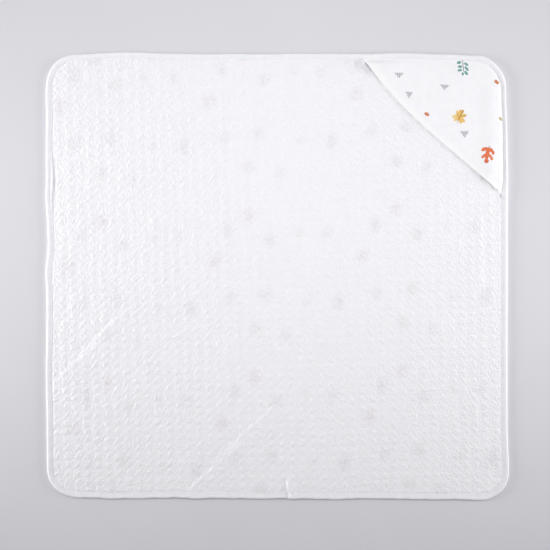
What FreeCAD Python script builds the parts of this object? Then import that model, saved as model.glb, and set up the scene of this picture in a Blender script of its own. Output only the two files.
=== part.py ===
import FreeCAD, Part
import math
import os

import Sketcher

# A hooded baby towel lying flat, inner side up, in millimetres. X runs to the right, Y towards
# the hood's end and Z up. The origin is on the ground under the towel's middle, and the hood
# covers the corner at +X +Y.
#
# The towel is a sandwich of three cloths, the outer layer below, the filling and the inner layer
# above, which thin out at the rim and are gathered there in a folded binding. The hood is two
# more cloths over one corner, sewn into the same binding along both legs and open at its mouth.
#
# The sandwich folds along two lines: across the middle, and across the corner outside the hood's
# mouth. Each cloth is one solid on each side of a fold.

SIZES = {
    # the whole towel
    "half_width": 450.0,
    "half_length": 435.0,
    "corner_radius": 58.0,
    "rim": 0.0,
    # half the gap between the panels, straight across the middle and along the edges at the corner
    "middle_gap": 0.25,
    "corner_gap": 0.36,
    # distance from the towel's corner, along each edge, to the line that the corner folds on
    "corner_fold_leg": 324.0,
    # the heights of the cloths' faces, away from the rim
    "outer_layer_top": 1.2,
    "filling_top": 3.2,
    "towel_top": 4.5,
    # the heights of the same faces inside the binding
    "seam_outer_top": 1.5,
    "seam_filling_top": 2.8,
    "seam_inner_top": 3.7,
    "seam_lining_top": 4.7,
    "seam_panel_top": 5.5,
    # the folded binding and its line of stitches
    "binding_width": 11.0,
    "binding_wall": 0.8,
    "hood_binding_top": 6.3,
    "thread_outside": 8.6,
    "thread_inside": 9.2,
    "thread_height": 0.3,
    # the hood: its legs along the edges, the bow and lift of its mouth, and its cloths
    "hood_leg_top": 288.0,
    "hood_leg_side": 282.0,
    "mouth_bow": 13.0,
    "mouth_lift": 7.0,
    "hood_cloth": 0.8,
    "mouth_seam_width": 2.5,
    "mouth_seam_height": 2.0,
    # tall enough to reach over the lifted hood
    "hood_clearance": 20.0,
}

MOUTH_SPANS = 12
# points closer than this are one place
SAME_PLACE = 1e-9
LINE_START = 1
LINE_END = 2
CENTRE_POINT = (-1, 1)

document = FreeCAD.newDocument("hooded_towel")
sheet = document.addObject("Spreadsheet::Sheet", "Sizes")
for row, (size_name, size) in enumerate(SIZES.items(), start=1):
    sheet.set(f"A{row}", size_name)
    sheet.set(f"B{row}", str(size))
    sheet.setAlias(f"B{row}", size_name)
document.recompute()


# Lengths are written as sums of signed size names, such as "+half_width -binding_width".


def amount(terms):
    """The value of a sum of signed size names, read from the sheet."""
    signed = {"+": 1.0, "-": -1.0}
    return sum(signed[term[0]] * sheet.get(term[1:]) for term in terms.split())


def formula(terms):
    """The same sum as an expression on the sheet."""
    return " ".join(f"{term[0]} Sizes.{term[1:]}" for term in terms.split())


def flipped(terms):
    """The sum with every sign changed."""
    return terms.translate(str.maketrans("+-", "-+"))


# The rim of each panel, as runs of corners at a given inset from the towel's edge. A corner is
# its x, its y and its rounding, which is None where the corner is sharp. A fold line joins the
# end of one run to the start of the next.


def left_runs(inset):
    """From the middle fold at the top edge, round the left side, to the fold at the bottom edge."""
    top = f"+half_length -{inset}"
    side = f"-half_width +{inset}"
    turn = f"+corner_radius -{inset}"
    return [
        [
            ("-middle_gap", top, None),
            (side, top, turn),
            (side, flipped(top), turn),
            ("-middle_gap", flipped(top), None),
        ]
    ]


def right_runs(inset):
    """From the middle fold at the bottom edge to the corner fold, then along the top edge."""
    top = f"+half_length -{inset}"
    side = f"+half_width -{inset}"
    turn = f"+corner_radius -{inset}"
    fold_back = f"-corner_fold_leg +{inset} -corner_gap"
    return [
        [
            ("+middle_gap", flipped(top), None),
            (side, flipped(top), turn),
            (side, f"+half_length {fold_back}", None),
        ],
        [
            (f"+half_width {fold_back}", top, None),
            ("+middle_gap", top, None),
        ],
    ]


def corner_runs(inset):
    """From the corner fold at the right edge, round the hooded corner, to the fold at the top."""
    top = f"+half_length -{inset}"
    side = f"+half_width -{inset}"
    turn = f"+corner_radius -{inset}"
    fold_back = f"-corner_fold_leg +{inset} +corner_gap"
    return [
        [
            (side, f"+half_length {fold_back}", None),
            (side, top, turn),
            (f"+half_width {fold_back}", top, None),
        ]
    ]


def hood_runs(inset):
    """Along the hood's two legs, from one end of its mouth to the other."""
    top = f"+half_length -{inset}"
    side = f"+half_width -{inset}"
    turn = f"+corner_radius -{inset}"
    return [
        [
            (side, "+half_length -hood_leg_side", None),
            (side, top, turn),
            ("+half_width -hood_leg_top", top, None),
        ]
    ]


def band(runs, run_index, outside, inside):
    """The strip between two insets along one run, as one closed loop of corners."""
    return runs(outside)[run_index] + runs(inside)[run_index][::-1]


def whole(runs, inset):
    """All of a panel that lies inside an inset, as one closed loop of corners."""
    return [corner for run in runs(inset) for corner in run]


def point(place):
    return FreeCAD.Vector(amount(place[0]), amount(place[1]), 0)


def towards(corner, neighbour):
    """Where a rounded corner's arc ends on its way to a neighbour, along X or along Y."""
    x, y, turn = corner
    step = point(neighbour) - point(corner)
    if abs(step.x) > abs(step.y):
        return (f"{x} {turn if step.x > 0 else flipped(turn)}", y)
    return (x, f"{y} {turn if step.y > 0 else flipped(turn)}")


def bind(sketch, constraint, terms):
    """Add a dimension to a sketch and drive it from the sheet."""
    index = sketch.addConstraint(constraint)
    sketch.setExpression(f"Constraints[{index}]", formula(terms))


def pin(sketch, line, end, place):
    """Hold one end of a line at its place, measured from the sketch's origin."""
    for direction, terms in zip(("DistanceX", "DistanceY"), place):
        held = Sketcher.Constraint(direction, *CENTRE_POINT, line, end, amount(terms))
        bind(sketch, held, terms)


def add_round(sketch, corner, arriving, leaving, entry, departure):
    """Join two lines with a quarter arc."""
    middle = point(entry) + point(departure) - point(corner)
    spokes = [point(entry) - middle, point(departure) - middle]
    angles = [math.atan2(spoke.y, spoke.x) for spoke in spokes]
    anticlockwise = spokes[0].cross(spokes[1]).z > 0
    if not anticlockwise:
        angles.reverse()
    circle = Part.Circle(middle, FreeCAD.Vector(0, 0, 1), amount(corner[2]))
    arc = sketch.addGeometry(Part.ArcOfCircle(circle, *angles))
    first, last = (1, 2) if anticlockwise else (2, 1)
    sketch.addConstraint(Sketcher.Constraint("Coincident", arriving, LINE_END, arc, first))
    sketch.addConstraint(Sketcher.Constraint("Coincident", leaving, LINE_START, arc, last))
    bind(sketch, Sketcher.Constraint("Radius", arc, amount(corner[2])), corner[2])


def draw_loop(sketch, corners):
    """Draw a closed loop of lines and quarter arcs, fully dimensioned from the sheet."""
    entries = []
    departures = []
    for index, corner in enumerate(corners):
        before = corners[index - 1]
        after = corners[(index + 1) % len(corners)]
        entries.append(towards(corner, before) if corner[2] else corner[:2])
        departures.append(towards(corner, after) if corner[2] else corner[:2])
    lines = []
    for index, departure in enumerate(departures):
        arrival = entries[(index + 1) % len(corners)]
        lines.append(sketch.addGeometry(Part.LineSegment(point(departure), point(arrival))))
    for index, corner in enumerate(corners):
        arriving = lines[index - 1]
        leaving = lines[index]
        pin(sketch, arriving, LINE_END, entries[index])
        if corner[2]:
            pin(sketch, leaving, LINE_START, departures[index])
            add_round(sketch, corner, arriving, leaving, entries[index], departures[index])
        else:
            ends = (arriving, LINE_END, leaving, LINE_START)
            sketch.addConstraint(Sketcher.Constraint("Coincident", *ends))


def add_pad(body, corners, low, high):
    """Pad a loop of corners from one height to another."""
    number = len(body.Group) + 1
    sketch = body.newObject("Sketcher::SketchObject", f"{body.Name}_outline_{number}")
    planes = {feature.Role: feature for feature in body.Origin.OriginFeatures}
    sketch.AttachmentSupport = (planes["XY_Plane"], [""])
    sketch.MapMode = "FlatFace"
    sketch.AttachmentOffset = FreeCAD.Placement(
        FreeCAD.Vector(0, 0, amount(low)), FreeCAD.Rotation()
    )
    sketch.setExpression("AttachmentOffset.Base.z", formula(low))
    draw_loop(sketch, corners)
    pad = body.newObject("PartDesign::Pad", f"{body.Name}_pad_{number}")
    pad.Profile = sketch
    pad.setExpression("Length", formula(f"{high} {flipped(low)}"))
    sketch.Visibility = False
    return pad


def make_body(name, pads):
    """A sub-part made of pads, each a loop of corners with its low and high faces."""
    body = document.addObject("PartDesign::Body", name)
    body.Label = name
    for corners, low, high in pads:
        add_pad(body, corners, low, high)
    return body


PANELS = {"left": left_runs, "right": right_runs, "corner": corner_runs}

# each cloth's low and high faces, first away from the rim and then in the seam
LAYERS = {
    "outer_layer": ("+rim", "+outer_layer_top", "+binding_wall", "+seam_outer_top"),
    "filling": ("+outer_layer_top", "+filling_top", "+seam_outer_top", "+seam_filling_top"),
    "inner_layer": ("+filling_top", "+towel_top", "+seam_filling_top", "+seam_inner_top"),
}

# each stretch of binding: the runs that it follows, which of them, and the height of its top
BINDINGS = {
    "left": (left_runs, 0, "+towel_top"),
    "right": (right_runs, 0, "+towel_top"),
    "top": (right_runs, 1, "+towel_top"),
    "corner": (corner_runs, 0, "+hood_binding_top"),
}


def make_layers():
    """The three cloths of each panel, thinned where the binding takes them in."""
    layers = []
    for panel, runs in PANELS.items():
        for layer, (low, high, seam_low, seam_high) in LAYERS.items():
            pads = [(whole(runs, "binding_width"), low, high)]
            for run_index in range(len(runs("rim"))):
                strip = band(runs, run_index, "binding_wall", "binding_width")
                pads.append((strip, seam_low, seam_high))
            layers.append(make_body(f"{layer}_{panel}", pads))
    return layers


def make_bindings():
    """The folded strip round the rim: a wall below, a wall above and the fold that joins them."""
    bindings = []
    for place, (runs, run_index, top) in BINDINGS.items():
        wide = band(runs, run_index, "rim", "binding_width")
        fold = band(runs, run_index, "rim", "binding_wall")
        pads = [
            (wide, "+rim", "+binding_wall"),
            (fold, "+binding_wall", top),
            (wide, f"{top} -binding_wall", top),
        ]
        bindings.append(make_body(f"binding_{place}", pads))
    return bindings


def make_threads():
    """The line of stitches on each stretch of binding."""
    threads = []
    for place, (runs, run_index, top) in BINDINGS.items():
        line = band(runs, run_index, "thread_outside", "thread_inside")
        pads = [(line, top, f"{top} +thread_height")]
        threads.append(make_body(f"binding_thread_{place}", pads))
    return threads


def hood_points(base):
    """The hood's sewn corner, and points along its mouth, for a cloth that starts at a height."""
    height = amount(base)
    x = amount("+half_width -binding_width")
    y = amount("+half_length -binding_width")
    sewn_corner = FreeCAD.Vector(x, y, height)
    top_end = FreeCAD.Vector(amount("+half_width -hood_leg_top"), y, height)
    side_end = FreeCAD.Vector(x, amount("+half_length -hood_leg_side"), height)
    chord = side_end - top_end
    outward = mouth_outward(chord)
    mouth = []
    for step in range(MOUTH_SPANS + 1):
        along = step / MOUTH_SPANS
        swell = math.sin(math.pi * along)
        bow = outward * (amount("+mouth_bow") * swell)
        lift = FreeCAD.Vector(0, 0, amount("+mouth_lift") * swell)
        mouth.append(top_end + chord * along + bow + lift)
    return sewn_corner, mouth


def mouth_outward(chord):
    """The level direction square to the mouth's chord, away from the hood."""
    return FreeCAD.Vector(chord.y, -chord.x, 0).normalize()


def flat_face(points):
    """A flat face through points, or nothing where they leave fewer than three places."""
    places = []
    for place in points:
        if not any(place.isEqual(other, SAME_PLACE) for other in places):
            places.append(place)
    if len(places) < 3:
        return []
    return [Part.Face(Part.makePolygon(places + places[:1]))]


def thick_ribbon(rail, other_rail, height):
    """The solid between two rows of points, from their own level to a height above it."""
    up = FreeCAD.Vector(0, 0, height)
    faces = []
    for near, far in ((rail[0], other_rail[0]), (rail[-1], other_rail[-1])):
        faces += flat_face([near, far, far + up, near + up])
    for step in range(len(rail) - 1):
        cell = [rail[step], rail[step + 1], other_rail[step + 1], other_rail[step]]
        faces += flat_face(cell)
        faces += flat_face([place + up for place in cell])
        faces += flat_face([cell[0], cell[1], cell[1] + up, cell[0] + up])
        faces += flat_face([cell[3], cell[2], cell[2] + up, cell[3] + up])
    solid = Part.Solid(Part.Shell(faces))
    if solid.Volume < 0:
        solid.reverse()
    return solid


def add_shape(name, shape):
    feature = document.addObject("Part::Feature", name)
    feature.Shape = shape
    feature.Placement = FreeCAD.Placement()
    return feature


def make_hood_cloth(name, base, seam_low, seam_high, outline):
    """One cloth of the hood: a fan from the sewn corner to the mouth, and its seam allowance."""
    sewn_corner, mouth = hood_points(base)
    rail = [sewn_corner] * len(mouth)
    fan = add_shape(f"{name}_fan", thick_ribbon(rail, mouth, amount("+hood_cloth")))
    rounded = document.addObject("Part::Common", f"{name}_rounded")
    rounded.Base = fan
    rounded.Tool = outline
    strip = band(hood_runs, 0, "binding_wall", "binding_width")
    allowance = make_body(f"{name}_allowance", [(strip, seam_low, seam_high)])
    cloth = document.addObject("Part::Fuse", name)
    cloth.Label = name
    cloth.Base = rounded
    cloth.Tool = allowance
    return cloth


def make_hood():
    """The hood's lining, its panel and the turned seam that closes them along the mouth."""
    area = whole(corner_runs, "binding_width")
    outline = make_body("hood_area", [(area, "+towel_top", "+hood_clearance")])
    lining_base = "+towel_top"
    panel_base = "+towel_top +hood_cloth"
    lining = make_hood_cloth(
        "hood_lining", lining_base, "+seam_inner_top", "+seam_lining_top", outline
    )
    panel = make_hood_cloth(
        "hood_panel", panel_base, "+seam_lining_top", "+seam_panel_top", outline
    )
    mouth = hood_points(lining_base)[1]
    outward = mouth_outward(mouth[-1] - mouth[0])
    outer_rail = [place + outward * amount("+mouth_seam_width") for place in mouth]
    seam_shape = thick_ribbon(mouth, outer_rail, amount("+mouth_seam_height"))
    seam = add_shape("hood_mouth_seam", seam_shape)
    seam.Label = "hood_mouth_seam"
    return [lining, panel, seam]


def check(pieces):
    """Stop if anything failed to build."""
    for item in document.Objects:
        if {"Invalid", "Error"} & set(item.State):
            raise RuntimeError(f"{item.Name} failed: {item.State}")
    for part in pieces:
        if part.Shape.isNull() or not part.Shape.isValid():
            raise RuntimeError(f"{part.Label} has no valid shape")


pieces_made = make_layers() + make_bindings() + make_threads() + make_hood()
document.recompute()
check(pieces_made)
os.makedirs("parts", exist_ok=True)
for part in pieces_made:
    part.Shape.exportStep(f"parts/{part.Label}.step")
    print(f"{part.Label}: {len(part.Shape.Solids)} solid, {part.Shape.Volume / 1000:.2f} cm3")
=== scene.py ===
"""Visual model of a hooded baby towel, spread flat, in metres and in the frame of its CAD model."""
import math

import bpy
import numpy as np
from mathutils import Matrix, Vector


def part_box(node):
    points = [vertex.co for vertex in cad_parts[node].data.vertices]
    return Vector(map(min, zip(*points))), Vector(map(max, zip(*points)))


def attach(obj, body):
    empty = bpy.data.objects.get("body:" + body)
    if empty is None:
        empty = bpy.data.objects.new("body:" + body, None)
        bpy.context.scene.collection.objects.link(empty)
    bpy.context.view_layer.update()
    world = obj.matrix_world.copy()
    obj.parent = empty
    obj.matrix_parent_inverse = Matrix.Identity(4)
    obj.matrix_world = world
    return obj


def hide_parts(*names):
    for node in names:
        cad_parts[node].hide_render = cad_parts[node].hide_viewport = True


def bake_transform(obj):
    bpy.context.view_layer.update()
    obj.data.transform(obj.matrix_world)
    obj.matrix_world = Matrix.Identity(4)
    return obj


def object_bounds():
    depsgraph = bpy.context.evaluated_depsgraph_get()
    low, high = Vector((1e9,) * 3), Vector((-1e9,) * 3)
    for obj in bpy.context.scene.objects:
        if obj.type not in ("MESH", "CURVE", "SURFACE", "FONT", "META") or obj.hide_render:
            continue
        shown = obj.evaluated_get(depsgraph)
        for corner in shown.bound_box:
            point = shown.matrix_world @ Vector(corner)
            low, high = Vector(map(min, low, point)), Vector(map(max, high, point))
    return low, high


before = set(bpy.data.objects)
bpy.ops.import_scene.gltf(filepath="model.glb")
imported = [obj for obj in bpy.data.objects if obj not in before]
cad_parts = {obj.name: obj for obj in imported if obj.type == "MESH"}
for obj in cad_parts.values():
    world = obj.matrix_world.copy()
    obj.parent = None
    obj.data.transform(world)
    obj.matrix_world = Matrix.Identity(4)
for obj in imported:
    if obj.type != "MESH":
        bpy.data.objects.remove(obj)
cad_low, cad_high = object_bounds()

MM = 0.001
TAU = 2 * math.pi

# Sizes in millimetres, from the CAD model's box and joints.
HALF_X = cad_high.x / MM
HALF_Y = cad_high.y / MM
CORNER = 58.0  # radius of the towel's corners
HOOD_LOW = Vector(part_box("hood_panel")[0]) / MM
SPLIT_X = 20.0  # where the left and right halves of each cloth meet

# Heights of the layers' faces where they lie free.
OUTER_TOP = 1.2
WADDING_LOW, WADDING_TOP = 1.25, 3.0
INNER_LOW = 3.1
GROOVE_TOP = 3.6  # the inner cloth's upper face, between its pads
HOOD_TOP = 5.9

# Heights of the same faces, lower and upper, where the binding holds them.
SEAM_OUTER = (0.82, 1.45)
SEAM_WADDING = (1.5, 2.25)
SEAM_INNER = (2.3, 3.1)
SEAM_HOOD_TOP = 4.65

# Heights of the inner cloth's relief: its pads, slanted ribs and crimp.
PAD_HEIGHT, TWILL, CRINKLE = 0.8, 0.115, 0.12

HOLD = 10.4  # how far in from the outline the binding holds the hood
LAYER_RIM = 1.6  # how far the layers stop inside the towel's outline
HOOD_RIM, MOUTH_RIM = 2.2, 3.0  # the same for the hood's corner and its mouth's ends
HOOD_RAISE = 1.6  # how much higher the binding runs over the hood's edges
HOOD_CLOTH = 0.75  # thickness of the hood's outer cloth

# Grid steps of the meshes, each as fine as its relief needs.
INNER_STEP, WADDING_STEP, OUTER_STEP, BINDING_STEP = 2.3, 6.0, 3.1, 2.6
HOOD_STEPS = 150  # from the hood's sewn corner to its free edge


# -------- shapes

def ease(t):
    """A smooth rise from 0 to 1 as t goes from 0 to 1."""
    t = np.clip(t, 0, 1)
    return t * t * (3 - 2 * t)


def noise(x, y, size, seed):
    """Smooth random values from -1 to 1, in bumps about size across."""
    table = np.random.default_rng(seed).uniform(-1, 1, (64, 64))
    grid_x, grid_y = x / size, y / size
    i, j = np.floor(grid_x).astype(int), np.floor(grid_y).astype(int)
    s, t = ease(grid_x - i), ease(grid_y - j)

    def value(a, b):
        return table[(i + a) % 64, (j + b) % 64]

    low = value(0, 0) * (1 - s) + value(1, 0) * s
    high = value(0, 1) * (1 - s) + value(1, 1) * s
    return low * (1 - t) + high * t


def inset(x, y):
    """Distance in from the towel's rounded outline."""
    over_x = np.abs(x) - (HALF_X - CORNER)
    over_y = np.abs(y) - (HALF_Y - CORNER)
    outside = np.hypot(np.maximum(over_x, 0), np.maximum(over_y, 0))
    return CORNER - outside - np.minimum(np.maximum(over_x, over_y), 0)


def round_corners(u, v, rim):
    """Moves points of a rectangle, rim inside the outline, so that its corners are round."""
    radius = CORNER - rim
    start_x, start_y = HALF_X - CORNER, HALF_Y - CORNER
    p = np.clip((np.abs(u) - start_x) / radius, 0, 1)
    q = np.clip((np.abs(v) - start_y) / radius, 0, 1)
    x = np.where(p > 0, start_x + radius * p * np.sqrt(1 - q * q / 2), np.abs(u))
    y = np.where(q > 0, start_y + radius * q * np.sqrt(1 - p * p / 2), np.abs(v))
    return np.sign(u) * x, np.sign(v) * y


def bump(t, centre, width):
    """1 at the centre, falling smoothly to 0."""
    return np.exp(-(((t - centre) / width) ** 2))


# Creases: start, end, height of the step up on the right of that direction, width of the step, and
# the distance behind it within which the cloth comes down again.
CREASES = (
    ((-196, -446), (-158, -400), 0.75, 7.5, 24.0),
    ((-176, -418), (-80, -322), 0.8, 8.0, 34.0),
    ((-96, -338), (-20, -262), 0.7, 8.5, 34.0),
    ((-438, -212), (-300, -64), 0.85, 8.5, 38.0),
    ((-440, 205), (-350, 262), 0.5, 10.0, 26.0),
    ((-428, -120), (-395, -40), 0.5, 9.0, 18.0),
    ((29, -462), (18, -396), 3.0, 5.0, 12.0),
    ((335, -222), (356, -305), 0.5, 10.0, 20.0),
    ((384, -215), (398, -300), 0.5, 9.0, 20.0),
    ((404, 120), (398, -60), 0.5, 12.0, 22.0),
    ((-262, 70), (-222, 150), 0.4, 14.0, 26.0),
)

# Corners: signs of x and y, and how far the corner is drawn in towards the middle.
CORNER_PULLS = ((1, 1, 8.8), (-1, 1, 0.4), (-1, -1, -0.2), (1, -1, -5.2))


def beside_crease(x, y, start, end):
    """Distance to the right of a crease's wandering line, and the crease's strength there."""
    along = np.subtract(end, start)
    length = np.hypot(*along)
    along = along / length
    share = ((x - start[0]) * along[0] + (y - start[1]) * along[1]) / length
    side = (x - start[0]) * along[1] - (y - start[1]) * along[0]
    side = side + 3.6 * noise(x, y, 17, 81) + 1.4 * noise(x, y, 9, 82)
    return side, ease((share + 0.1) / 0.25) * ease((1.1 - share) / 0.35)


def crease(x, y, start, end, height, rise, fall):
    """A soft fold: the cloth steps up across a line and comes down again slowly."""
    side, strength = beside_crease(x, y, start, end)
    step = ease(side / rise + 0.5) * np.exp(-((np.maximum(side, 0) / fall) ** 2))
    valley = 0.45 * bump(side, -0.8 * rise, 0.7 * rise)
    return height * strength * (step - valley)


def creased(x, y):
    """1 along the steep side of the creases, where the cloth is crumpled."""
    total = 0 * x
    for start, end, height, rise, _ in CREASES:
        side, strength = beside_crease(x, y, start, end)
        total = total + min(height, 1.0) * strength * bump(side, 0.2 * rise, rise)
    return np.clip(total, 0, 1)


def lift(x, y):
    """How far the whole cloth stands off the ground in its creases and soft waves."""
    total = sum(crease(x, y, *values) for values in CREASES)
    waves = 0.6 + 0.3 * noise(x, y, 95, 3) + 0.22 * noise(x, y, 42, 4) + 0.12 * noise(x, y, 24, 6)
    inside = ease((inset(x, y) - 4) / 40)
    return np.maximum(total + np.maximum(waves, 0) * inside, 0)


# How far each side of the outline swings outwards: all along, then in bumps (height, place along the
# side, width), then in ripples (height, size, seed).
SWINGS = {
    "top": (-0.9, (
        (2.6, -295, 60), (-1.0, -140, 50), (-0.9, -45, 40), (0.9, 240, 45), (-2.0, 365, 55),
        (-1.8, -405, 35),
    ), ((0.5, 38, 11),)),
    "bottom": (-0.8, (
        (-1.8, -410, 45), (-0.8, -120, 40), (-2.0, -202, 24), (1.8, 120, 28),
    ), ((0.9, 27, 12), (0.5, 12, 15))),
    "right": (-2.0, ((1.2, 170, 50), (2.0, -360, 70), (-1.8, 345, 45)), ((0.4, 52, 13),)),
    "left": (0.1, (
        (1.2, 240, 80), (2.2, 350, 30), (-2.0, 65, 38), (2.3, 10, 26), (1.5, 156, 24),
        (1.4, -190, 50), (-1.2, -380, 40),
    ), ((0.5, 47, 14),)),
}


def swing(side, t):
    """How far one side of the outline swings outwards at the places t along it."""
    even, bumps, ripples = SWINGS[side]
    total = even + sum(height * bump(t, place, width) for height, place, width in bumps)
    return total + sum(height * noise(t, 0 * t, size, seed) for height, size, seed in ripples)


def settle(x, y, z):
    """The gentle waviness of the outline and the lift of the cloth, given to every layer alike."""
    top, low = ease(y / HALF_Y) ** 2, ease(-y / HALF_Y) ** 2
    right, left = ease(x / HALF_X) ** 3, ease(-x / HALF_X) ** 3
    new_x = x + right * swing("right", y) - left * swing("left", y)
    new_y = y + top * swing("top", x) - low * (swing("bottom", x) + 2.0 * ease(x / 380))
    for sign_x, sign_y, pull in CORNER_PULLS:
        away = np.hypot(HALF_X - sign_x * x, HALF_Y - sign_y * y)
        shift = pull * np.exp(-((away / 55) ** 2)) / math.sqrt(2)
        new_x, new_y = new_x - sign_x * shift, new_y - sign_y * shift
    return new_x, new_y, z + lift(x, y)


# The jacquard's pads: place in the cell, half length and half width, turn in degrees, and height.
PAD_CELL = (20.0, 16.4)
PAD_KINDS = (((0.0, 0.0), (7.0, 6.2), -12.0, 1.0), ((11.0, -8.2), (5.6, 2.9), 50.0, 0.42))


def weave_place(x, y):
    """Distances along and across the jacquard's own directions, which wander a little."""
    turn = math.radians(1.5)
    along = x * math.cos(turn) + y * math.sin(turn) + 1.1 * noise(x, y, 31, 21)
    up = y * math.cos(turn) - x * math.sin(turn) + 1.1 * noise(x, y, 31, 22)
    return along, up


def twill(x, y):
    """The low slanted ribs through the pads: a faint one once in a cell, and two that cross, twice."""
    along, up = weave_place(x, y)
    ribs = sum(
        height * np.cos(TAU * (often * along / PAD_CELL[0] + way * up / PAD_CELL[1]))
        for height, often, way in ((0.25, 1, -1), (1.0, 2, -1), (1.0, 2, 1))
    )
    return ribs * (1 + 0.3 * noise(x, y, 43, 23))


def pads(x, y):
    """The raised pads of the jacquard cloth: 0 in the grooves and 1 on top of a pad."""
    along, up = weave_place(x, y)
    rng = np.random.default_rng(5)
    shift = rng.uniform(-1.3, 1.3, (2, 2, 64, 64))
    swivel = rng.uniform(-0.4, 0.4, (2, 64, 64))
    tall = rng.uniform(0.65, 1.0, (2, 64, 64))
    height = np.zeros_like(x)
    for kind, (offset, axes, lean, most) in enumerate(PAD_KINDS):
        i = np.floor((along - offset[0]) / PAD_CELL[0] + 0.5).astype(int)
        j = np.floor((up - offset[1]) / PAD_CELL[1] + 0.5).astype(int)
        for column, row in ((i + a, j + b) for a in (-1, 0, 1) for b in (-1, 0, 1)):
            key = column % 64, row % 64
            from_x = along - offset[0] - column * PAD_CELL[0] - shift[kind, 0][key]
            from_y = up - offset[1] - row * PAD_CELL[1] - shift[kind, 1][key]
            angle = math.radians(lean) + swivel[kind][key]
            p = (from_x * np.cos(angle) + from_y * np.sin(angle)) / axes[0]
            q = (from_y * np.cos(angle) - from_x * np.sin(angle)) / axes[1]
            dome = ease(1.25 - 0.95 * np.hypot(p, q))
            height = np.maximum(height, most * tall[kind][key] * dome)
    return height


def streaks(x, y, lean, seed):
    """Short ridges, about a third longer than wide, that lean by so many degrees from upright."""
    angle = math.radians(lean)
    across = x * math.cos(angle) + y * math.sin(angle)
    along = y * math.cos(angle) - x * math.sin(angle)
    fine = noise(across / 3.0, along / 3.9, 1.0, seed)
    broad = noise(across / 4.6, along / 6.0, 1.0, seed + 1)
    return 0.75 * fine + 0.35 * broad


def crinkles(x, y):
    """The washed cloth's fine crimp: it leans one way at the left and the other at the right."""
    left, right = streaks(x, y, -32, 72), streaks(x, y, 24, 75)
    share = ease((x + 330) / 660)
    rough = left * np.sqrt(1 - share) + right * np.sqrt(share)
    return rough * (0.8 + 0.2 * ease(-x / 400) + 0.1 * ease(x / 400) + 0.2 * ease(-y / 420))


# The hood's free edge, from its upper left end to its lower right one, and its sewn corner.
MOUTH_START = np.array([HOOD_LOW.x, HALF_Y - MOUTH_RIM])
MOUTH_END = np.array([HALF_X - MOUTH_RIM, HOOD_LOW.y])
MOUTH_CHORD = MOUTH_END - MOUTH_START
MOUTH_LENGTH = np.hypot(*MOUTH_CHORD)
HOOD_POINT = np.array([HALF_X - HOOD_RIM, HALF_Y - HOOD_RIM])


def mouth_bow(s):
    """How far the free edge bows out of the straight line between its ends."""
    return 11.6 * np.sin(np.pi * s) + 3.3 * np.sin(2 * np.pi * s)


def mouth_line(s):
    """Points of the free edge, from their shares of the way along it."""
    out = np.array([MOUTH_CHORD[1], -MOUTH_CHORD[0]]) / MOUTH_LENGTH
    return (MOUTH_START[k] + MOUTH_CHORD[k] * s + out[k] * mouth_bow(s) for k in (0, 1))


def under_hood(x, y):
    """1 where the hood covers the towel, falling to 0 at its free edge."""
    from_x, from_y = x - MOUTH_START[0], y - MOUTH_START[1]
    across = (from_x * -MOUTH_CHORD[1] + from_y * MOUTH_CHORD[0]) / MOUTH_LENGTH
    along = (from_x * MOUTH_CHORD[0] + from_y * MOUTH_CHORD[1]) / MOUTH_LENGTH
    return ease((across + mouth_bow(np.clip(along / MOUTH_LENGTH, 0, 1)) - 8) / 14)


def between(seam, free, x, y, start=10.6, length=4.6):
    """A height that is seam under the binding and free further in."""
    return seam + (free - seam) * ease((inset(x, y) - start) / length)


def edge_run(x, y):
    """Place along the nearest side of the towel."""
    return np.where(np.abs(x) / HALF_X > np.abs(y) / HALF_Y, y, x)


def seam_puckers(x, y):
    """Small ripples where the cloth is gathered a little by the binding's stitches."""
    angle = np.arctan2(y, x)
    wave = np.sin(TAU * edge_run(x, y) / 10.5 + 2.4 * noise(x, y, 37, 31) + angle)
    depth = inset(x, y)
    return 0.22 * wave * ease((depth - 10) / 4) * ease((34 - depth) / 20)


def edge_dent(x, y):
    """The hollow beside the left binding, where the binding stands away from the cloth."""
    left = 2.0 * bump(y, 192, 30) * bump(inset(x, y), 13.2 + 0.05 * (230 - y), 2.4) * (x < 0)
    return left + 0.9 * bump(x, 429, 8) * bump(y, -386, 8)


def inner_top(x, y):
    covered = under_hood(x, y)
    relief = PAD_HEIGHT * pads(x, y) * (1 + 0.15 * ease(-x / 400))
    relief = relief + TWILL * twill(x, y) + CRINKLE * crinkles(x, y) * (1 + 2.0 * creased(x, y))
    free = GROOVE_TOP + relief * (1 - 0.6 * covered) - edge_dent(x, y)
    free = free + seam_puckers(x, y) * (1 - covered)
    return between(SEAM_INNER[1], free, x, y)


def inner_low(x, y):
    return between(SEAM_INNER[0], INNER_LOW - edge_dent(x, y), x, y)


def wadding_top(x, y):
    """The filling's top; it is thinner where the cloth is creased."""
    return between(SEAM_WADDING[1], WADDING_TOP - edge_dent(x, y) - 0.7 * creased(x, y), x, y)


def wadding_low(x, y):
    return between(SEAM_WADDING[0], WADDING_LOW, x, y)


def outer_top(x, y):
    return between(SEAM_OUTER[1], OUTER_TOP, x, y)


def outer_low(x, y):
    """The towel's underside, which stands off the ground between the pads."""
    quilted = 0.42 * (1 - pads(x, y))
    return between(SEAM_OUTER[0], quilted, x, y, 11.2, 4.0)


# -------- meshes

def new_object(name, data):
    made = bpy.data.objects.new(name, data)
    bpy.context.scene.collection.objects.link(made)
    return made


def make_piece(name, x, y, z, faces, material, flat):
    """A smooth mesh object that keeps its points' places on the flat cloth, for the print."""
    mesh = bpy.data.meshes.new(name)
    mesh.from_pydata((np.stack([x, y, z], 1) * MM).tolist(), [], faces)
    mesh.shade_smooth()
    attribute = mesh.attributes.new("cloth_mm", "FLOAT_VECTOR", "POINT")
    attribute.data.foreach_set("vector", np.asarray(flat, np.float32).ravel())
    mesh.materials.append(material)
    return new_object(name, mesh)


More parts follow.
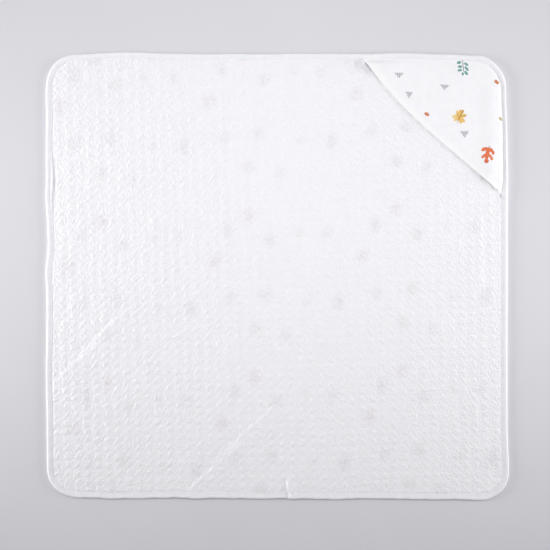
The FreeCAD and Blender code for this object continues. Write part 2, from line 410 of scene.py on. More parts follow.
def lines(low, high, step, low_rim, high_rim):
    """Grid lines from low to high, an odd number of them, and closer ones along a bound edge."""
    rim = np.array([0, 3.5, 6.5, 8.8, 10.2, 11.6, 13.2, 15.0])
    start = low + rim if low_rim else np.array([low])
    end = (high - rim)[::-1] if high_rim else np.array([high])
    count = int(round((end[0] - start[-1]) / step))
    count += (count + len(start) + len(end)) % 2
    middle = np.linspace(start[-1], end[0], count + 1)[1:-1]
    return np.concatenate([start, middle, end])


def grid_normals(x, y, z):
    points = np.stack([x, y, z], -1)
    normals = np.cross(np.gradient(points, axis=0), np.gradient(points, axis=1))
    return normals / np.linalg.norm(normals, axis=-1, keepdims=True)


def closed_faces(columns, rows, fine_up):
    """Faces of a closed sheet: one side has every grid point, and the other every second one."""
    fine = np.arange(columns * rows).reshape(columns, rows)
    wide, tall = (columns + 1) // 2, (rows + 1) // 2
    coarse = columns * rows + np.arange(wide * tall).reshape(wide, tall)

    def quads(grid):
        corners = grid[:-1, :-1], grid[1:, :-1], grid[1:, 1:], grid[:-1, 1:]
        return np.stack(corners, -1).reshape(-1, 4)

    def ring(grid):
        return np.concatenate([grid[:-1, 0], grid[-1, :-1], grid[:0:-1, -1], grid[0, :0:-1]])

    outer, inner = ring(fine), ring(coarse)
    walls = []
    for k in range(len(inner)):
        a, b, c = outer[2 * k], outer[2 * k + 1], outer[(2 * k + 2) % len(outer)]
        d, e = inner[k], inner[(k + 1) % len(inner)]
        walls += [(a, d, b), (b, d, e), (b, e, c)]
    if fine_up:
        return quads(fine).tolist() + quads(coarse)[:, ::-1].tolist(), walls
    return quads(fine)[:, ::-1].tolist() + quads(coarse).tolist(), [w[::-1] for w in walls]


def keep_normals(piece, normals, fine_up, count):
    """Gives the fine side the normals of the whole cloth, so that no line shows where halves meet."""
    mesh = piece.data
    loops = np.zeros(len(mesh.loops), int)
    mesh.loops.foreach_get("vertex_index", loops)
    given = np.zeros((len(loops), 3))
    used = np.arange(len(loops)) < 4 * count
    given[used] = normals.reshape(-1, 3)[loops[used]] * (1 if fine_up else -1)
    mesh.normals_split_custom_set(given.tolist())


def make_cloth(name, fine_height, coarse_height, step, fine_up, material):
    """Both halves of one layer: closed sheets whose fine side carries the visible shape."""
    end_x, end_y = HALF_X - LAYER_RIM, HALF_Y - LAYER_RIM
    v = lines(-end_y, end_y, step, True, True)
    left = lines(-end_x, SPLIT_X, step, True, False)
    right = lines(SPLIT_X, end_x, step, False, True)
    u = np.concatenate([left, right[1:]])
    flat_x, flat_y = round_corners(*np.meshgrid(u, v, indexing="ij"), LAYER_RIM)
    x, y, z = settle(flat_x, flat_y, fine_height(flat_x, flat_y))
    normals = grid_normals(x, y, z)
    other = settle(flat_x, flat_y, coarse_height(flat_x, flat_y))
    made = []
    halves = ("left", slice(0, len(left))), ("right", slice(len(left) - 1, len(u)))
    for side, part in halves:
        columns, rows = len(u[part]), len(v)
        coarse = slice(part.start, part.stop, 2)
        faces, walls = closed_faces(columns, rows, fine_up)
        joined = [
            np.concatenate([a[part].ravel(), b[coarse, ::2].ravel()])
            for a, b in zip((x, y, z), other)
        ]
        flat = np.stack([
            np.concatenate([a[part].ravel(), a[coarse, ::2].ravel()])
            for a in (flat_x, flat_y, 0 * flat_x)
        ], 1)
        piece = make_piece(f"{name}_{side}", *joined, faces + walls, material, flat)
        keep_normals(piece, normals[part], fine_up, (columns - 1) * (rows - 1))
        made.append(piece)
    return made


def outline(step):
    """Points round the towel's outline, anticlockwise from the top of the split line, with normals."""
    points = []

    def run(start, end):
        count = max(1, int(round(np.hypot(*np.subtract(end, start)) / step)))
        out = np.array([end[1] - start[1], start[0] - end[0]], float)
        out /= np.hypot(*out)
        for k in range(count):
            points.append((*(np.array(start) + np.subtract(end, start) * k / count), *out))

    def turn(centre, first):
        count = int(round(CORNER * math.pi / 2 / (0.8 * step)))
        for k in range(count):
            angle = math.radians(first) + math.pi / 2 * k / count
            out = math.cos(angle), math.sin(angle)
            points.append((centre[0] + CORNER * out[0], centre[1] + CORNER * out[1], *out))

    a, b = HALF_X - CORNER, HALF_Y - CORNER
    run((SPLIT_X, HALF_Y), (-a, HALF_Y))
    turn((-a, b), 90)
    run((-HALF_X, b), (-HALF_X, -b))
    turn((-a, -b), 180)
    run((-a, -HALF_Y), (SPLIT_X, -HALF_Y))
    left_count = len(points)
    run((SPLIT_X, -HALF_Y), (a, -HALF_Y))
    turn((a, -b), 270)
    run((HALF_X, -b), (HALF_X, b))
    turn((a, b), 0)
    run((a, HALF_Y), (SPLIT_X, HALF_Y))
    return np.array(points), left_count


def over_hood(x, y):
    """1 along the stretch of binding that holds the hood's edges."""
    along_top = ease((x - MOUTH_START[0] + 5) / 10) * (y > HALF_Y - 60)
    along_side = ease((y - MOUTH_END[1] + 5) / 10) * (x > HALF_X - 60)
    return np.maximum(along_top, along_side)


def shown_width(x, y):
    """Share of the binding's width that shows: the hood bulges over it along the towel's side."""
    return 1 - 0.4 * ease((y - 160) / 30) * ease((400 - y) / 35) * (x > HALF_X - 60)


# Section of the binding: distance in from the outline, height, and share of the raise at the hood.
BINDING_SECTION = (
    (11.1, 3.25, 1.0), (11.0, 3.65, 1.0), (10.5, 3.9, 1.0), (9.7, 3.95, 1.0), (8.8, 3.5, 1.0),
    (7.8, 3.95, 1.0), (6.8, 4.1, 1.0), (5.2, 4.3, 1.0), (3.6, 4.5, 0.95), (2.0, 4.35, 0.85),
    (0.8, 3.7, 0.6), (0.1, 2.7, 0.3), (0.1, 1.7, 0.1), (0.7, 0.75, 0.0), (1.9, 0.15, 0.0),
    (4.0, 0.0, 0.0), (7.0, 0.05, 0.0), (8.1, 0.15, 0.0), (8.8, 0.4, 0.0), (9.6, 0.15, 0.0),
    (10.8, 0.1, 0.0), (11.1, 0.75, 0.0), (8.0, 0.78, 0.0), (4.0, 0.8, 0.0), (2.0, 1.2, 0.0),
    (1.3, 2.0, 0.4), (2.0, 2.9, 0.8), (4.0, 3.2, 1.0), (8.0, 3.2, 1.0),
)


def flipped(face):
    """The face that looks the other way."""
    return (face[0], *face[:0:-1])


def tube_faces(count, around):
    """Faces of a tube with closed ends, made of count rings of around points each."""
    index = np.arange(count * around).reshape(count, around)
    after = np.roll(index, -1, axis=1)
    faces = np.stack([index[:-1], index[1:], after[1:], after[:-1]], -1).reshape(-1, 4).tolist()
    return faces + [index[0].tolist(), index[-1][::-1].tolist()]


def sweep(points, section, wobble):
    """Coordinates and faces of a section carried along points; wobble says how far in and how high."""
    count, around = len(points), len(section)
    base = np.repeat(points, around, axis=0)
    part = np.tile(np.array(section), (count, 1))
    depth, z = wobble(base, part)
    x = base[:, 0] - base[:, 2] * depth
    y = base[:, 1] - base[:, 3] * depth
    return x, y, z, tube_faces(count, around)


def binding_wobble(base, part):
    """Distance in and height of the binding's section: it ripples, and stands up at the left."""
    x, y = base[:, 0], base[:, 1]
    inward, height, raised = part.T
    run = edge_run(x, y)
    upper = ease((height - 2.0) / 2.0)
    ripple = np.sin(TAU * run / 9.5 + 3 * noise(x, y, 29, 41))
    ripple = 0.7 * ripple * bump(inward, 7.5, 3.2) + 0.9 * noise(run, inward, 15, 42)
    inner_edge = ease((inward - 8) / 3)
    depth = inward * np.where(height > 2.5, shown_width(x, y), 1)
    depth = depth + inner_edge * 0.45 * noise(run, 0 * run, 23, 43)
    standing = bump(y, 183, 42) * (x < 0) * inner_edge
    depth = depth + 1.8 * standing
    z = height + upper * (0.16 * ripple + 1.2 * standing)
    return depth, z + HOOD_RAISE * raised * over_hood(x, y)


def make_binding(material):
    points, left_count = outline(BINDING_STEP)
    left, right = points[: left_count + 1], np.vstack([points[left_count:], points[:1]])
    made = []
    for side, stretch in (("left", left), ("right", right)):
        x, y, z, faces = sweep(stretch, BINDING_SECTION, binding_wobble)
        flat = np.stack([x, y, inset(x, y)], 1)
        made.append(make_piece(f"binding_tape_{side}", *settle(x, y, z), faces, material, flat))
    return made


STITCH_LENGTH, STITCH_GAP, STITCH_THICK = 2.3, 0.9, 0.24
STITCH_INSET = 8.8
STITCH_TOP, STITCH_LOW = 3.75, 0.26  # heights of the stitches above and under the binding


def stitch_shape():
    """One stitch: rings of a bent capsule, as distance along, across and up."""
    rings = ((-0.5, 0.15), (-0.4, 0.8), (0.0, 1.0), (0.4, 0.8), (0.5, 0.15))
    sides = 6
    points = []
    for along, width in rings:
        thick, sunk = width * STITCH_THICK, 0.5 * abs(along)
        for k in range(sides):
            angle = TAU * k / sides
            across, up = math.cos(angle) * thick, math.sin(angle) * thick
            points.append((along * STITCH_LENGTH, across, up - sunk))
    return np.array(points), [flipped(face) for face in tube_faces(len(rings), sides)]


def make_threads(material):
    shape, shape_faces = stitch_shape()
    points, left_count = outline(STITCH_LENGTH + STITCH_GAP)
    made = []
    for side, stretch in (("left", points[1:left_count]), ("right", points[left_count + 1:])):
        x, y, z, faces = [], [], [], []
        for face in (1, -1):
            for a, b, out_a, out_b in stretch:
                along = shape[:, 0]
                width = shown_width(a, b) if face > 0 else 1
                cross = STITCH_INSET * width + shape[:, 1]
                x.append(a - out_a * cross - out_b * along)
                y.append(b - out_b * cross + out_a * along)
                level = STITCH_TOP + HOOD_RAISE * over_hood(a, b) if face > 0 else STITCH_LOW
                z.append(level + face * shape[:, 2])
                start = (len(z) - 1) * len(shape)
                faces += [[start + v for v in (f if face > 0 else f[::-1])] for f in shape_faces]
        x, y, z = (np.concatenate(values) for values in (x, y, z))
        flat = np.stack([x, y, z], 1)
        made.append(make_piece(f"stitching_{side}", *settle(x, y, z), faces, material, flat))
    return made


# -------- hood

def hood_grid():
    """A triangle of points, as shares of the way along each sewn edge, and the points' numbers."""
    i, j = np.meshgrid(np.arange(HOOD_STEPS + 1), np.arange(HOOD_STEPS + 1), indexing="ij")
    inside = i + j <= HOOD_STEPS
    index = np.full(i.shape, -1)
    index[inside] = np.arange(inside.sum())
    return i[inside] / HOOD_STEPS, j[inside] / HOOD_STEPS, index


def hood_place(a, b):
    """Plan of the hood's points, shares a and b of the way to its mouth's upper and lower end."""
    reach = a + b
    share = np.where(reach > 0, b / np.maximum(reach, 1e-9), 0.5)
    u, v = mouth_line(share)
    u = HOOD_POINT[0] + (u - HOOD_POINT[0]) * reach
    v = HOOD_POINT[1] + (v - HOOD_POINT[1]) * reach
    x, y = round_corners(np.minimum(u, HOOD_POINT[0]), np.minimum(v, HOOD_POINT[1]), HOOD_RIM)
    return x, y, share, reach


def hood_height(x, y, share, reach):
    """Top of the hood's outer cloth: seamed round the corner and free at the mouth."""
    near_mouth = ease((reach - 0.6) / 0.4)
    arch = 7.5 * bump(share, 0.06, 0.06) + 2.2 * bump(share, 0.87, 0.06) + 0.5 * bump(share, 0.45, 0.2)
    slack = 0.5 * ease(reach / 0.4) * ease((1 - reach) / 0.12)
    ridge = 1.6 * bump(x, 420, 14) * ease((y - 180) / 40) * ease((400 - y) / 40)
    fold = 0.5 * bump(x, 360, 24) * ease((y - 215) / 60) - 0.4 * bump(x, 398, 10) * ease((y - 200) / 60)
    ripples = 0.4 * noise(x + 0.6 * y, y, 44, 51) + 0.22 * noise(x, y, 21, 52)
    relief = 0.12 * pads(x + 7, y + 3) + 0.1 * crinkles(x, y)
    free = HOOD_TOP + arch * near_mouth + slack + ridge + fold + ripples * ease((1.02 - reach) / 0.1)
    hold = HOLD * shown_width(x, y)
    rise_top = ease((HALF_Y - y - HOLD) / (30 - 17 * near_mouth)) ** 0.7
    rise = np.minimum(ease((HALF_X - x - hold) / 8.5), rise_top)
    rise = rise * ease((inset(x, y) - hold) / 8)
    return SEAM_HOOD_TOP + (free - SEAM_HOOD_TOP) * rise + relief + seam_puckers(x, y) * rise


def hood_faces(index, count):
    """Faces of a hood cloth: the upper side, the lower side count points on, and the three edges."""
    faces = []
    steps = range(HOOD_STEPS)
    for i in steps:
        for j in range(HOOD_STEPS - i):
            upper = [index[i, j], index[i + 1, j], index[i, j + 1]]
            if i + j + 2 <= HOOD_STEPS:
                upper.insert(2, index[i + 1, j + 1])
            faces += [upper, [point + count for point in flipped(upper)]]
    ring = [index[k, 0] for k in steps] + [index[HOOD_STEPS - k, k] for k in steps]
    ring += [index[0, HOOD_STEPS - k] for k in steps]
    for one, two in zip(ring, ring[1:] + ring[:1]):
        faces.append((two, one, one + count, two + count))
    return faces


def make_hood_layer(name, high_drops, low_drops, material):
    """One of the hood's cloths. Its faces' drops below the hood's top are given held and free."""
    a, b, index = hood_grid()
    x, y, share, reach = hood_place(a, b)
    top = hood_height(x, y, share, reach)
    away = ease((inset(x, y) - HOLD) / 9.0)
    sides = [settle(x, y, top - held + (held - free) * away) for held, free in (high_drops, low_drops)]
    joined = [np.concatenate(pair) for pair in zip(*sides)]
    flat = np.tile(np.stack([x, y, reach], 1), (2, 1))
    return make_piece(name, *joined, hood_faces(index, len(a)), material, flat)


def make_mouth_seam(material):
    """The turned edge that joins the hood's two cloths along its mouth."""
    count, around = 150, 12
    share = np.linspace(0.004, 0.996, count)
    x, y, share, reach = hood_place(1 - share, share)
    along = np.gradient(np.stack([x, y], 1), axis=0)
    along /= np.linalg.norm(along, axis=1, keepdims=True)
    out = np.stack([along[:, 1], -along[:, 0]], 1)
    out *= np.sign((out * (np.stack([x, y], 1) - HOOD_POINT)).sum(1))[:, None]
    top = hood_height(x, y, share, reach)
    plump = 1 + 0.07 * noise(share * 400, 0 * share, 14, 61)
    strips, flat = [], []
    for k in range(around):
        angle = TAU * k / around
        side = 1.55 * math.cos(angle) * plump - 0.35
        up = 1.05 * math.sin(angle) * plump - 0.82
        new_x, new_y = x + out[:, 0] * side, y + out[:, 1] * side
        strips.append(np.stack(settle(new_x, new_y, top + up), 1))
        flat.append(np.stack([new_x, new_y, 1 + 0 * new_x], 1))
    points, flat = (np.stack(values, 1).reshape(-1, 3) for values in (strips, flat))
    return make_piece("mouth_edge", *points.T, tube_faces(count, around), material, flat)


# -------- materials

def linear(levels):
    """A linear colour from red, green and blue of 0 to 255, none of them near 0."""
    return (*(((level / 255 + 0.055) / 1.055) ** 2.4 for level in levels), 1.0)


def add(tree, kind, inputs=None, **settings):
    """Adds one node: inputs are values or sockets by name or number."""
    made = tree.nodes.new(kind)
    for key, value in settings.items():
        setattr(made, key, value)
    for key, value in (inputs or {}).items():
        if isinstance(value, bpy.types.NodeSocket):
            tree.links.new(value, made.inputs[key])
        else:
            made.inputs[key].default_value = value
    return made.outputs[0]


def maths(tree, operation, *values):
    return add(tree, "ShaderNodeMath", dict(enumerate(values)), operation=operation)


def vectors(tree, operation, *values):
    made = add(tree, "ShaderNodeVectorMath", dict(enumerate(values)), operation=operation)
    return made.node.outputs["Value"] if operation in ("LENGTH", "DOT_PRODUCT") else made


def split(tree, vector):
    """A vector's three values."""
    return add(tree, "ShaderNodeSeparateXYZ", {0: vector}).node.outputs


def clouds(tree, place, scale, detail=2.0, **more):
    return add(tree, "ShaderNodeTexNoise", {"Vector": place, "Scale": scale, "Detail": detail, **more})


def placed(tree, vector, x, y, turn=0.0, size=(1, 1)):
    """The vector in the own axes of a shape that lies at x, y, turned and sized."""
    values = {
        "Vector": vector, "Location": (x, y, 0), "Rotation": (0, 0, math.radians(turn)),
        "Scale": (*size, 1),
    }
    return add(tree, "ShaderNodeMapping", values, vector_type="TEXTURE")


def soft_step(tree, value, start, end, low=0.0, high=1.0):
    values = {0: value, 1: start, 2: end, 3: low, 4: high}
    return add(tree, "ShaderNodeMapRange", values, interpolation_type="SMOOTHSTEP")


def ovals(tree, vector, shapes, soft=0.1):
    """1 inside any of the ovals (x, y, half length, half width, turn), with a soft edge."""
    closest = None
    for x, y, length, width, turn in shapes:
        here = vectors(tree, "LENGTH", placed(tree, vector, x, y, turn, (length, width)))
        closest = here if closest is None else maths(tree, "MINIMUM", closest, here)
    return soft_step(tree, closest, 1 + soft, 1 - soft)


def blend_colour(tree, factor, *pair):
    """Mixes two colours, each a socket or its red, green and blue of 0 to 255."""
    first, second = (c if isinstance(c, bpy.types.NodeSocket) else linear(c) for c in pair)
    return add(tree, "ShaderNodeMixRGB", {"Fac": factor, "Color1": first, "Color2": second})


def motif(name, build):
    """A group that draws one motif: takes the place, gives its colour and how much it covers."""
    tree = bpy.data.node_groups.new(name, "ShaderNodeTree")
    sockets = ("Place", "INPUT", "Vector"), ("Colour", "OUTPUT", "Color"), ("Cover", "OUTPUT", "Float")
    for label, way, kind in sockets:
        tree.interface.new_socket(label, in_out=way, socket_type=f"NodeSocket{kind}")
    drawn = build(tree, tree.nodes.new("NodeGroupInput").outputs[0])
    for value, socket in zip(drawn, tree.nodes.new("NodeGroupOutput").inputs):
        tree.links.new(value, socket)
    return tree


def brushed(tree, place, first, second, scale=0.35):
    """Watercolour shading between two colours."""
    return blend_colour(tree, soft_step(tree, clouds(tree, place, scale), 0.38, 0.62), first, second)


def build_sprig(tree, place):
    leaves = ovals(tree, place, (
        (-7.6, 8.1, 4.6, 2.9, 17), (-5.6, 0.0, 4.9, 2.6, 8), (-6.2, -7.2, 4.7, 2.6, 10),
        (-0.3, -14.3, 2.4, 3.2, 0), (6.8, 5.6, 4.9, 2.7, -35), (7.6, -3.4, 5.6, 2.7, -48),
        (6.5, -12.1, 5.0, 2.8, -50),
    ))
    stem = ovals(tree, place, (
        (-2.2, 14.0, 5.6, 0.95, -64), (0.3, 5.8, 4.8, 0.9, -86), (1.1, -3.6, 6.4, 0.9, -85),
    ), 0.3)
    paint = brushed(tree, place, (96, 158, 152), (140, 176, 174))
    paint = blend_colour(tree, stem, paint, (138, 132, 148))
    return paint, maths(tree, "MAXIMUM", leaves, stem)


def build_gold_leaf(tree, place):
    body = ovals(tree, place, (
        (0.2, 0.5, 7.4, 8.0, 0), (4.8, 9.0, 5.4, 3.1, 60), (1.4, 9.9, 2.9, 4.4, 0),
        (-4.0, 7.4, 5.2, 2.9, 118), (-9.4, 0.4, 5.8, 3.6, 4), (-7.6, -5.4, 5.0, 3.1, 30),
        (8.6, 2.4, 4.8, 3.1, 8), (6.0, -6.6, 5.6, 3.2, -52), (1.6, -9.2, 2.9, 4.4, 10),
    ), 0.12)
    rib = ovals(tree, place, (
        (0.2, -0.8, 15.2, 0.8, 64.5), (-3.6, 3.4, 4.8, 0.5, 128), (3.4, 1.2, 4.6, 0.5, 12),
    ), 0.35)
    paint = brushed(tree, place, (236, 186, 92), (240, 204, 132))
    pale = soft_step(tree, split(tree, place)[0], -3.0, -10.0)
    tip = ovals(tree, place, ((5.6, 10.6, 3.6, 2.6, 60), (10.4, 2.0, 2.2, 2.2, 0)), 0.5)
    for cover, amount, tone in (
        (pale, 0.7, (243, 220, 160)), (tip, 0.55, (176, 140, 84)), (rib, 0.75, (150, 104, 62)),
    ):
        paint = blend_colour(tree, maths(tree, "MULTIPLY", cover, amount), paint, tone)
    return paint, maths(tree, "MAXIMUM", body, rib)


def build_red_leaf(tree, place):
    body = ovals(tree, place, (
        (-1.0, 1.2, 12.4, 3.9, 78), (-5.4, 11.0, 6.2, 3.6, 12), (-9.6, 9.2, 2.9, 2.7, 40),
        (5.4, 8.8, 6.4, 3.7, -38), (10.2, 3.4, 2.9, 4.2, 0), (-5.0, -1.2, 5.6, 3.0, 22),
        (-9.8, -4.4, 3.0, 2.7, 55), (3.8, -2.6, 4.6, 2.7, -38), (7.0, -7.6, 4.2, 2.7, -68),
        (-2.9, -12.6, 4.4, 4.5, 0),
    ), 0.1)
    stub = ovals(tree, place, ((2.6, 15.0, 2.4, 0.9, 70),), 0.3)
    paint = brushed(tree, place, (231, 110, 72), (236, 136, 96))
    foot = ovals(tree, place, ((-3.0, -14.5, 4.6, 4.0, 0), (11.4, 3.0, 2.6, 4.2, 0)), 0.6)
    paint = blend_colour(tree, maths(tree, "MULTIPLY", foot, 0.5), paint, (206, 104, 80))
    paint = blend_colour(tree, stub, paint, (168, 172, 150))
    return paint, maths(tree, "MAXIMUM", body, stub)


def build_triangle(tree, place):
    """An unlined triangle that points down, filled with fine hatching; 2 wide and 2 high."""
    x, y, _ = split(tree, place)
    half_width = maths(tree, "MULTIPLY_ADD", y, 0.5, 0.5)
    slope = maths(tree, "SUBTRACT", maths(tree, "ABSOLUTE", x), half_width)
    edge = maths(tree, "MAXIMUM", slope, maths(tree, "SUBTRACT", y, 1.0))
    inside = soft_step(tree, edge, 0.08, -0.08)
    hatch = maths(tree, "SINE", maths(tree, "MULTIPLY", x, 16.0))
    strength = soft_step(tree, hatch, -0.9, 0.9, 0.45, 1.0)
    paint = brushed(tree, place, (166, 166, 175), (184, 184, 192), 2.0)
    return paint, maths(tree, "MULTIPLY", inside, strength)


def build_spot(paint_a, paint_b):
    def build(tree, place):
        cover = ovals(tree, place, ((0, 0, 1, 1, 0),), 0.16)
        return brushed(tree, place, paint_a, paint_b, 2.2), cover
    return build


MOTIFS = {
    "sprig": motif("sprig", build_sprig),
    "gold": motif("gold leaf", build_gold_leaf),
    "red": motif("red leaf", build_red_leaf),
    "triangle": motif("triangle", build_triangle),
    "orange": motif("orange spot", build_spot((214, 124, 80), (196, 138, 104))),
    "olive": motif("olive spot", build_spot((176, 168, 112), (196, 186, 140))),
}

# The hood's print: motif, x, y, turn and size. Leaves are drawn full size, and the rest at unit size.
HOOD_PRINT = (
    ("sprig", 363, 411, 0, (1, 1)), ("orange", 432, 381, -38, (5.6, 3.6)),
    ("gold", 357, 312, 0, (1, 1)), ("red", 411, 237, 0, (1, 1)),
    ("orange", 292, 316, -28, (5.2, 3.3)), ("olive", 437.5, 307, -55, (4.6, 2.6)),
    ("triangle", 237, 390.3, 0, (9.5, 5.2)), ("triangle", 257, 352.3, -3, (7.6, 6.2)),
    ("triangle", 327, 369.3, -4, (10.2, 5.2)), ("triangle", 366, 277, 2, (9.2, 6.6)),
)

# The outer cloth's print, which shows faintly through the inner one: one repeat.
REPEAT = (288.0, 315.0)
REPEAT_ORIGIN = (77.0, 164.0)
REPEAT_TURN = 2.25
CLOTH_PRINT = (
    ("red", 91, 184, 0), ("gold", 185, 116, 20), ("sprig", 39, 97, 0), ("triangle", 117, 112, 0),
    ("orange", 266, 99, -30), ("gold", 164, 50, -40), ("triangle", 223, 35, 8), ("red", 159, 271, 160),
    ("sprig", 118, 244, 25), ("triangle", 23, 232, -6), ("gold", 199, 221, 75), ("orange", 257, 234, 40),
    ("olive", 41, 87, 15),
)
UNIT_SIZES = {"triangle": (9.0, 6.0), "orange": (5.2, 3.5), "olive": (4.6, 2.8)}


def cloth_place(tree):
    """Place on the flat cloth in millimetres, without height, and its third value apart."""
    source = add(tree, "ShaderNodeAttribute", attribute_name="cloth_mm").node.outputs["Vector"]
    x, y, third = split(tree, source)
    return add(tree, "ShaderNodeCombineXYZ", {0: x, 1: y}), third


def repeat_place(tree, flat):
    """Place within one repeat of the print."""
    turned = placed(tree, flat, 0, 0, REPEAT_TURN)
    moved = vectors(tree, "ADD", turned, (-REPEAT_ORIGIN[0], -REPEAT_ORIGIN[1], 0))
    return vectors(tree, "WRAP", moved, (*REPEAT, 10.0), (0.0, 0.0, -10.0))


def nearest(tree, places):
    """Of several motifs of one kind, the place within the one that is nearest."""
    best = places[0]
    for place in places[1:]:
        lengths = vectors(tree, "LENGTH", place), vectors(tree, "LENGTH", best)
        best = blend_colour(tree, maths(tree, "LESS_THAN", *lengths), best, place)
    return best


def printed(tree, ground, name, place):
    """The ground colour with one motif printed on it."""
    paint = add(tree, "ShaderNodeGroup", {0: place}, node_tree=MOTIFS[name])
    return blend_colour(tree, paint.node.outputs["Cover"], ground, paint)


def shader(name, roughness, sheen, specular=0.25):
    material = bpy.data.materials.new(name)
    material.use_nodes = True
    tree = material.node_tree
    surface = tree.nodes["Principled BSDF"]
    for key, value in {
        "Roughness": roughness, "Sheen Weight": sheen, "Sheen Roughness": 0.6,
        "Specular IOR Level": specular,
    }.items():
        surface.inputs[key].default_value = value
    return material, tree, surface


def cloth_material(name, look, draw, relief, strength=0.6):
    """A cloth's material: draw gives its colour, and the fine height that relief turns into metres."""
    material, tree, surface = shader(name, *look)
    paint, height = draw(tree, *cloth_place(tree))
    tree.links.new(paint, surface.inputs["Base Color"])
    normal = add(tree, "ShaderNodeBump", {"Strength": strength, "Distance": relief, "Height": height})
    tree.links.new(normal, surface.inputs["Normal"])
    return material


def weave(tree, place, thread):
    """Height of a plain weave of the given thread spacing in millimetres."""
    turns = TAU / thread
    scaled = vectors(tree, "MULTIPLY", place, (turns, turns, 0))
    cloud = clouds(tree, place, 0.55)
    x, y, _ = split(tree, vectors(tree, "ADD", scaled, cloud.node.outputs["Color"]))
    waves = maths(tree, "MULTIPLY", maths(tree, "SINE", x), maths(tree, "SINE", y))
    return maths(tree, "MULTIPLY_ADD", waves, 0.5, cloud)


def crimp(tree, place):
    """Height of the washed cloth's finest ridges, which lean as its larger crimp does."""
    left, right = (
        clouds(tree, placed(tree, place, 0, 0, lean, (1.0, 1.5)), 0.28, Roughness=0.6)
        for lean in (-34, 26)
    )
    x = split(tree, place)[0]
    share = soft_step(tree, x, -300, 300)
    from_left = maths(tree, "MULTIPLY", left, maths(tree, "SUBTRACT", 1.0, share))
    height = maths(tree, "MULTIPLY_ADD", right, share, from_left)
    return maths(tree, "MULTIPLY", height, soft_step(tree, x, 130, 330, 1.15, 1.05))


def mottled(tree, place, first, second, scale):
    """A soft mix of two colours in patches about 1 / scale across."""
    cloud = clouds(tree, place, scale, 3.0, Roughness=0.6)
    return blend_colour(tree, soft_step(tree, cloud, 0.3, 0.7), first, second)


# How each motif shows through the inner cloth: half length, half width and colour.
SHOW_THROUGH = {
    "red": (15, 13, (237, 233, 238)), "gold": (13, 14, (237, 235, 239)),
    "sprig": (16, 11, (234, 234, 241)), "triangle": (15, 12, (239, 239, 244)),
    "orange": (11, 9, (241, 240, 244)), "olive": (11, 9, (240, 240, 244)),
}


def draw_inner_cloth(tree, flat, _):
    """White jacquard with a fine crimp and its painted shade and highlight; the print behind just
    visible.
    """
    broad = mottled(tree, flat, (250, 248, 254), (252, 250, 255), 0.06)
    # fine: small darker and lighter flecks, painted shade and painted highlight that stand in for the
    # fine crimp's shading.
    fine = mottled(tree, flat, (243, 242, 249), (255, 254, 255), 0.3)
    paint = blend_colour(tree, 0.5, broad, fine)
    repeat = repeat_place(tree, flat)
    amount = soft_step(tree, clouds(tree, flat, 0.16), 0.36, 0.64, 0.2, 0.8)
    for name, x, y, turn in CLOTH_PRINT:
        length, width, tint = SHOW_THROUGH[name]
        far = vectors(tree, "LENGTH", placed(tree, repeat, x, y, turn + 60, (length, width)))
        cover = maths(tree, "MULTIPLY", soft_step(tree, far, 1.6, 0.2), amount)
        paint = blend_colour(tree, cover, paint, tint)
    return paint, crimp(tree, flat)


def draw_outer_cloth(tree, flat, _):
    """White cotton with the leaf print, seen from below and where the towel is folded."""
    paint = mottled(tree, flat, (241, 241, 246), (247, 247, 251), 0.05)
    repeat = repeat_place(tree, flat)
    for name in MOTIFS:
        length, width = UNIT_SIZES.get(name, (1, 1))
        places = [
            placed(tree, repeat, x, y, turn, (-length, width))
            for kind, x, y, turn in CLOTH_PRINT if kind == name
        ]
        paint = printed(tree, paint, name, nearest(tree, places))
    return paint, weave(tree, flat, 0.8)


def draw_hood_cloth(tree, flat, reach):
    """The same printed cotton on the hood, doubled and so whiter along the hem."""
    paint = mottled(tree, flat, (248, 247, 251), (251, 250, 254), 0.05)
    paint = blend_colour(tree, soft_step(tree, reach, 0.94, 0.98), paint, (254, 253, 254))
    for name, x, y, turn, size in HOOD_PRINT:
        paint = printed(tree, paint, name, placed(tree, flat, x, y, turn, size))
    return paint, crimp(tree, flat)


def plain_cloth(first, second, thread):
    """Draws plain cotton in two close tones, with the given thread spacing."""
    def draw(tree, flat, _):
        return mottled(tree, flat, first, second, 0.07), weave(tree, flat, thread)
    return draw


def draw_wadding(tree, flat, _):
    paint = mottled(tree, flat, (232, 231, 226), (244, 243, 240), 0.09)
    return paint, clouds(tree, flat, 1.4, 5.0, Distortion=2.0)


def draw_thread(tree, flat, _):
    paint = mottled(tree, flat, (232, 232, 238), (244, 244, 248), 0.5)
    twist = vectors(tree, "DOT_PRODUCT", flat, (5.2, 5.2, 0))
    return paint, maths(tree, "SINE", twist)


# -------- floor, light and camera

FLOOR_HALF, FLOOR_LEVEL = 30.0, -0.0004
WORLD_STRENGTH = 0.399
VIEW_CENTRE, VIEW_WIDTH, VIEW_HEIGHT = (-0.0049, 0.002), 1.0725, 0.004

# Softboxes: name, place, the point they face, size, spread and power.
SOFTBOXES = (
    ("left softbox", (-2.33, 0.01, 0.435), (-0.60, 0.04, 0), (0.74, 0.74), 1.0, 5.6),
    ("right softbox", (2.25, 0.01, 0.435), (0.60, 0.04, 0), (0.74, 0.74), 1.0, 4.55),
    ("top softbox", (0.0, 2.12, 3.10), (0, 0.61, 0), (1.2, 0.8), 1.08, 5.48),
)


def make_floor():
    corners = [(x * FLOOR_HALF, y * FLOOR_HALF, 0) for x, y in ((-1, -1), (1, -1), (1, 1), (-1, 1))]
    mesh = bpy.data.meshes.new("floor")
    mesh.from_pydata(corners, [], [(0, 1, 2, 3)])
    floor = new_object("floor", mesh)
    floor.location.z = FLOOR_LEVEL
    material, tree, surface = shader("pale floor", 0.95, 0.0, specular=0.0)
    place = add(tree, "ShaderNodeTexCoord").node.outputs["Object"]
    paint = mottled(tree, place, (223, 222, 227), (225, 224, 229), 3.0)
    tree.links.new(paint, surface.inputs["Base Color"])
    mesh.materials.append(material)


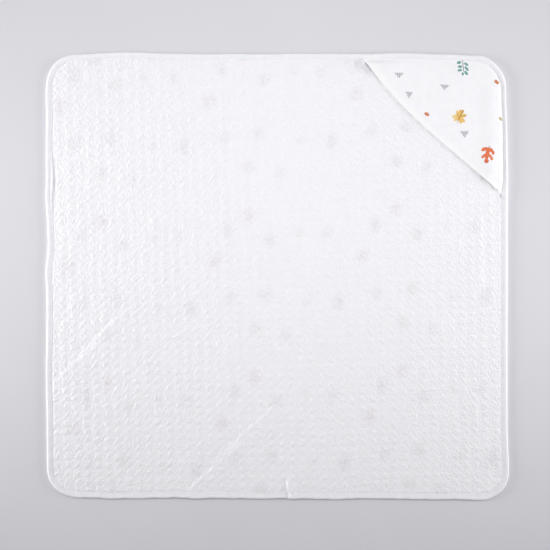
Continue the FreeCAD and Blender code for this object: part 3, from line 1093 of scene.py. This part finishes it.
def make_light(name, place, target, size, spread, power):
    lamp = bpy.data.lights.new(name, "AREA")
    lamp.shape = "RECTANGLE"
    lamp.size, lamp.size_y = size
    lamp.energy = power
    lamp.spread = spread
    holder = new_object(name, lamp)
    holder.location = place
    holder.rotation_euler = (Vector(target) - Vector(place)).to_track_quat("-Z", "Y").to_euler()
    holder.visible_camera = False


def make_world():
    world = bpy.data.worlds.new("studio")
    world.use_nodes = True
    background = world.node_tree.nodes["Background"]
    background.inputs["Color"].default_value = (1.0, 1.0, 1.0, 1.0)
    background.inputs["Strength"].default_value = WORLD_STRENGTH
    bpy.context.scene.world = world


def make_camera():
    """Looks straight down, from where the view is as wide as it should be."""
    lens = bpy.data.cameras.new("camera")
    lens.lens, lens.sensor_width = 85, 36
    holder = new_object("camera", lens)
    holder.location = (*VIEW_CENTRE, VIEW_HEIGHT + VIEW_WIDTH * lens.lens / lens.sensor_width)
    bpy.context.scene.camera = holder


# -------- the towel

def bend(piece, side):
    """Bakes a layer's placement into its mesh, the left half and the right half alike."""
    if side == "left":
        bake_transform(piece)
    else:
        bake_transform(piece)


# Roughness and sheen of plain cotton.
COTTON = (0.88, 0.12)
lining_tones, tape_tones = ((238, 238, 243), (246, 246, 250)), ((243, 243, 248), (249, 249, 253))
jacquard = cloth_material("white jacquard cloth", (0.9, 0.15), draw_inner_cloth, 0.0021, 1.0)
print_cotton = cloth_material("printed cotton", COTTON, draw_outer_cloth, 0.00012)
hood_cotton = cloth_material("printed hood cotton", (0.86, 0.12), draw_hood_cloth, 0.0008, 1.0)
lining_cotton = cloth_material("plain lining cotton", COTTON, plain_cloth(*lining_tones, 0.8), 0.00012)
tape_cotton = cloth_material("white cotton tape", COTTON, plain_cloth(*tape_tones, 0.7), 0.0001)
fibre = cloth_material("soft fibre filling", (0.95, 0.3), draw_wadding, 0.0005, 0.8)
thread = cloth_material("white sewing thread", (0.6, 0.2, 0.4), draw_thread, 0.00005)

inner = make_cloth("inner_cloth", inner_top, inner_low, INNER_STEP, True, jacquard)
wadding = make_cloth("wadding", wadding_top, wadding_low, WADDING_STEP, True, fibre)
outer = make_cloth("outer_cloth", outer_low, outer_top, OUTER_STEP, False, print_cotton)
binding = make_binding(tape_cotton)
threads = make_threads(thread)

# The halves of a piece, their CAD nodes and slot, and further nodes of the right half.
STANDS_FOR = (
    (inner, "inner_layer", "textured_cloth", ()),
    (wadding, "filling", "wadding", ()),
    (outer, "outer_layer", "printed_cloth", ()),
    (binding, "binding", "binding_tape", ("binding_top",)),
    (threads, "binding_thread", "sewing_thread", ("binding_thread_top",)),
)
for pair, node, slot, more in STANDS_FOR:
    for side, piece in zip(("left", "right"), pair):
        bend(piece, side)
        corner = (f"{node}_corner", *more) if side == "right" else ()
        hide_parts(f"{node}_{side}", *corner)

# The lining lies just under the hood's outer cloth.
lining = make_hood_layer("hood_inner_cloth", (0.8, 0.8), (1.51, 1.55), lining_cotton)
panel = make_hood_layer("hood_outer_cloth", (0.0, 0.0), (HOOD_CLOTH, HOOD_CLOTH), hood_cotton)
mouth = make_mouth_seam(hood_cotton)
for piece, node, slot in (
    (panel, "hood_panel", "printed_cloth"), (lining, "hood_lining", "plain_cloth"),
    (mouth, "hood_mouth_seam", "printed_cloth"),
):
    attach(piece, "hooded_corner")
    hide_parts(node)

make_floor()
make_world()
for softbox in SOFTBOXES:
    make_light(*softbox)
make_camera()
bpy.context.scene.view_settings.view_transform = "Standard"
